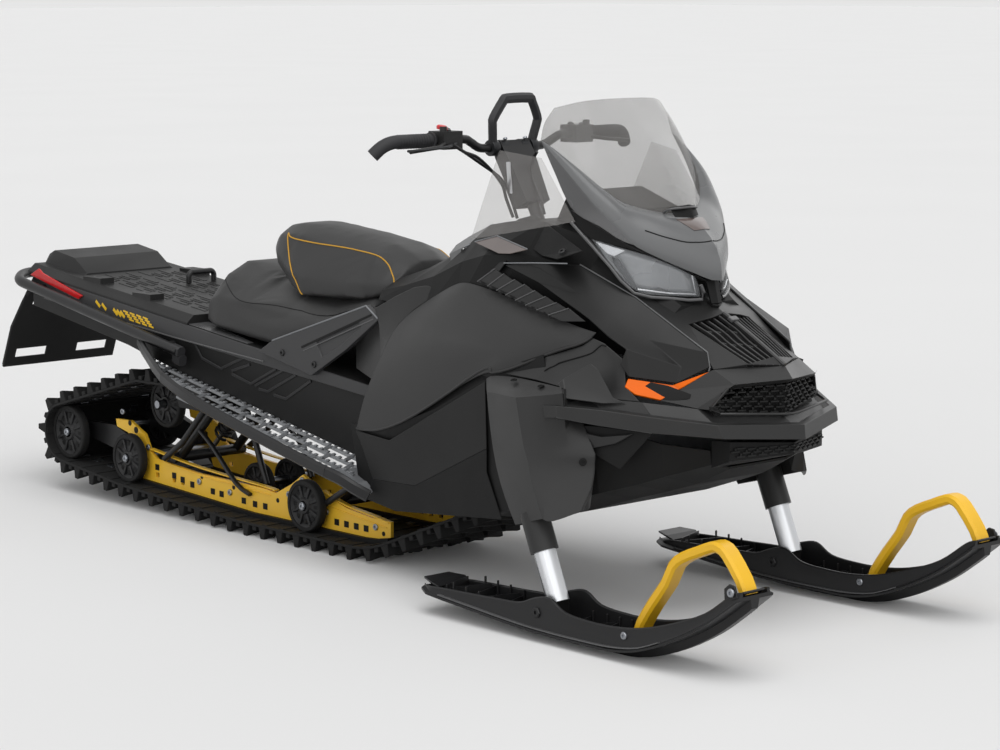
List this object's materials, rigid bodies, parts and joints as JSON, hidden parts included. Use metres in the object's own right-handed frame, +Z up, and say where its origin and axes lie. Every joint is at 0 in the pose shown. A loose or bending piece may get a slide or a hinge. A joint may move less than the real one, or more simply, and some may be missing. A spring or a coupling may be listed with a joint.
{
  "type": "utility snowmobile",
  "caption": "Utility snowmobile with steered front skis, a driven rear track under a tunnel, stepped seat, cargo deck, windshield and headlamps.",
  "frame": {"origin": "on the floor, under the middle of the machine", "axes": "+X to the nose, +Y to the rider's left, +Z up"},
  "size_m": [3.2137, 0.961, 1.221],
  "materials": {
    "track_rubber": "matt moulded rubber",
    "wheel_black": "matt moulded",
    "steel": "brushed",
    "rail_yellow": "satin anodised",
    "shoe_black": "smooth",
    "tunnel_dark": "satin",
    "board_metal": "pressed and ribbed",
    "rack_black": "fine grain",
    "flank_grey": "fine grain",
    "tube_black": "semi-gloss",
    "flap_black": "matt",
    "lamp_red": "clear red",
    "seat_cover": "coarse coated weave",
    "brace_grey": "fine grain",
    "panel_black": "fine grain",
    "hood_charcoal": "satin",
    "mesh_black": "open mesh",
    "marker_orange": "clear orange",
    "ski_black": "smooth",
    "loop_yellow": "smooth",
    "leg_metal": "satin",
    "collar_black": "satin",
    "riser_black": "satin",
    "grip_rubber": "fine texture",
    "control_black": "fine grain",
    "console_black": "fine grain",
    "screen_clear": "clear, lightly smoked",
    "shroud_grey": "fine grain",
    "wing_grey": "fine grain",
    "lens_clear": "clear",
    "engine_grey": "cast",
    "spring_yellow": "satin"
  },
  "bodies": {
    "chassis": {"track": "track_rubber", "idler_wheels": "wheel_black", "rear_wheels": "wheel_black", "drive_axle": "wheel_black", "cross_shafts": "steel", "slide_rails": "rail_yellow", "slide_shoes": "shoe_black", "tunnel": "tunnel_dark", "running_boards": "board_metal", "cargo_deck": "rack_black", "tunnel_skirts": "flank_grey", "rear_bumper": "tube_black", "cargo_hook": "tube_black", "suspension_arms": "tube_black", "tail_arms": "tube_black", "snow_flap": "flap_black", "tail_lamps": "lamp_red", "seat_base": "seat_cover", "seat_cushion": "seat_cover", "side_braces": "brace_grey", "side_panels": "panel_black", "lower_panels": "panel_black", "belly_pan": "panel_black", "front_bumper": "panel_black", "strut_housings": "panel_black", "hood": "hood_charcoal", "hood_sides": "hood_charcoal", "nose_cowl": "hood_charcoal", "nose_grilles": "mesh_black", "side_markers": "marker_orange", "instrument": "control_black", "console": "console_black", "windshield": "screen_clear", "side_deflectors": "screen_clear", "windshield_shroud": "shroud_grey", "screen_wings": "wing_grey", "headlamps": "lens_clear", "engine_block": "engine_grey", "shock_absorbers": "spring_yellow"},
    "steering": {"steering_riser": "riser_black", "handlebar": "tube_black", "grips": "grip_rubber", "control_blocks": "control_black", "grab_strap": "grip_rubber"},
    "ski_right_body": {"ski_right": "ski_black", "ski_loop_right": "loop_yellow", "ski_leg_right": "leg_metal", "strut_collar_right": "collar_black"},
    "ski_left_body": {"ski_left": "ski_black", "ski_loop_left": "loop_yellow", "ski_leg_left": "leg_metal", "strut_collar_left": "collar_black"}
  },
  "joints": [
    {"name": "steering_turn", "type": "hinge", "parent": "chassis", "child": "steering", "pos_m": [0.43, 0, 1.086], "axis": [-0.4848, 0, 0.8746], "range_deg": [-35, 35]},
    {"name": "ski_right_turn", "type": "hinge", "parent": "chassis", "child": "ski_right_body", "pos_m": [1.022, -0.4065, 0.078], "axis": [-0.3891, 0, 0.9212], "range_deg": [-28, 28]},
    {"name": "ski_left_turn", "type": "hinge", "parent": "chassis", "child": "ski_left_body", "pos_m": [1.022, 0.4065, 0.078], "axis": [-0.3891, 0, 0.9212], "range_deg": [-28, 28]}
  ],
  "couplings": [
    {"joint": "ski_right_turn", "follows": "steering_turn", "ratio": 0.8},
    {"joint": "ski_left_turn", "follows": "steering_turn", "ratio": 0.8}
  ]
}
